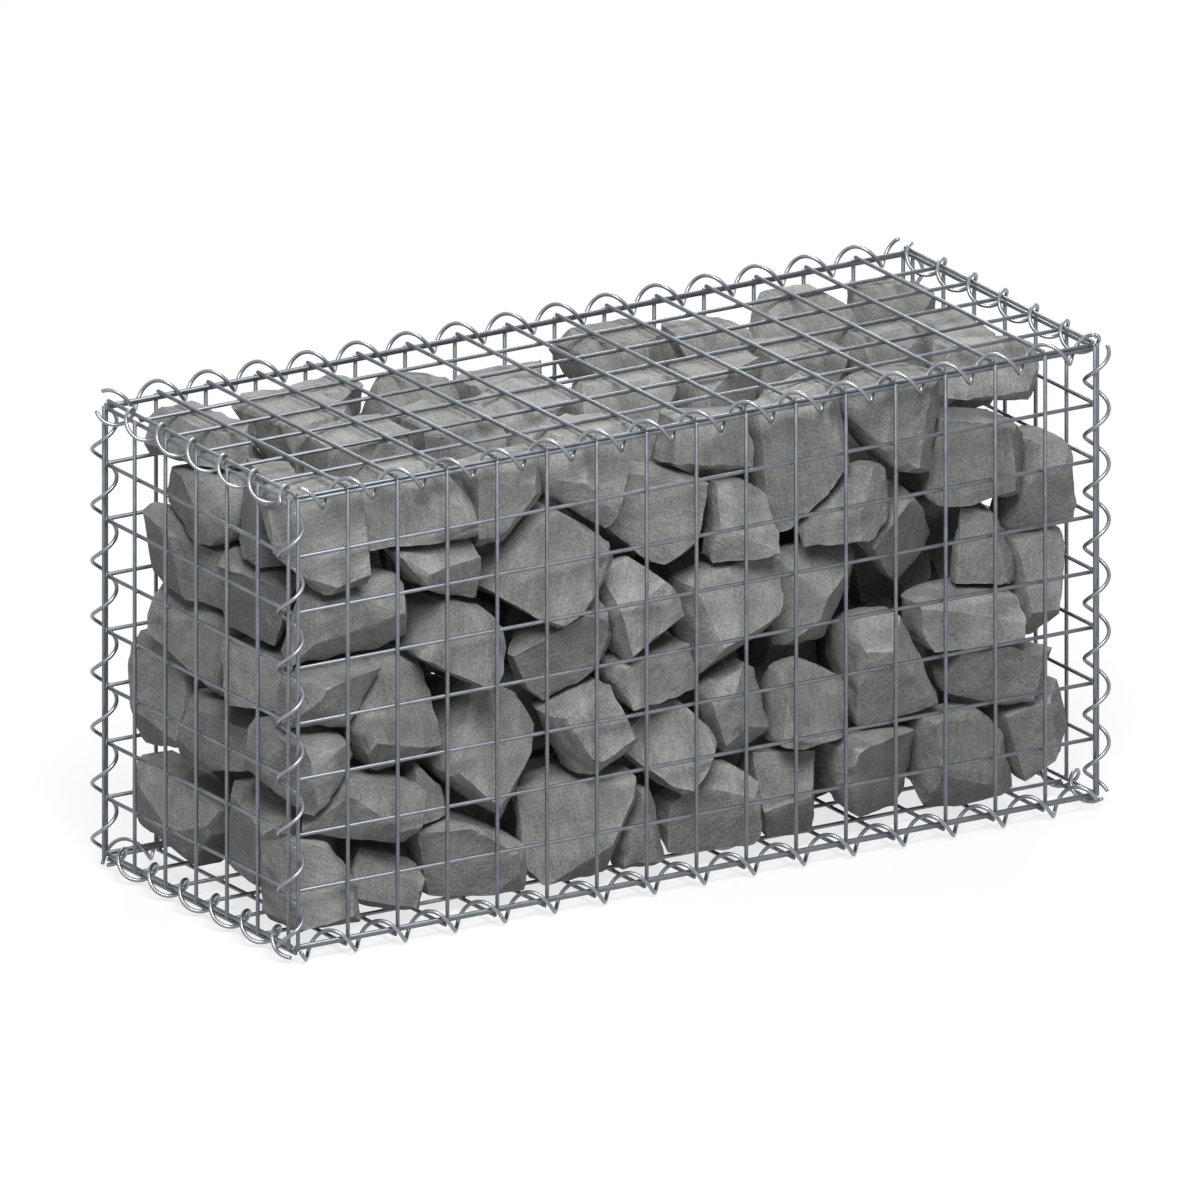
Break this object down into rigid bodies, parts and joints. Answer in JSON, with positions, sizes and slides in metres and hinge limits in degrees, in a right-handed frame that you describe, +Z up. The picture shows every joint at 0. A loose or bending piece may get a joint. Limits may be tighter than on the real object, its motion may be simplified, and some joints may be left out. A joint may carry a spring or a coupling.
{
  "type": "gabion wall",
  "caption": "Box-shaped gabion wall unit: welded wire mesh panels laced along their edges with wire coils and filled with broken grey rock.",
  "frame": {"origin": "floor level under the middle of the basket", "axes": "+X along the length, +Y towards the back, +Z up"},
  "size_m": [0.834, 0.337, 0.4309],
  "materials": {
    "wire": "galvanised, satin",
    "rock": "broken rock, matt"
  },
  "bodies": {
    "root": {"front_mesh": "wire", "back_mesh": "wire", "left_end_mesh": "wire", "right_end_mesh": "wire", "base_mesh": "wire", "lid_mesh": "wire", "top_front_coil": "wire", "top_back_coil": "wire", "bottom_front_coil": "wire", "bottom_back_coil": "wire", "top_left_coil": "wire", "top_right_coil": "wire", "bottom_left_coil": "wire", "bottom_right_coil": "wire", "front_left_coil": "wire", "front_right_coil": "wire", "back_left_coil": "wire", "back_right_coil": "wire", "front_stones_1": "rock", "front_stones_2": "rock", "front_stones_3": "rock", "front_stones_4": "rock", "front_stones_5": "rock", "back_stones_1": "rock", "back_stones_2": "rock", "back_stones_3": "rock", "back_stones_4": "rock", "back_stones_5": "rock", "core_stones_1": "rock", "core_stones_2": "rock", "core_stones_3": "rock", "core_stones_4": "rock", "core_stones_5": "rock", "left_end_stones": "rock", "right_end_stones": "rock"}
  },
  "joints": []
}
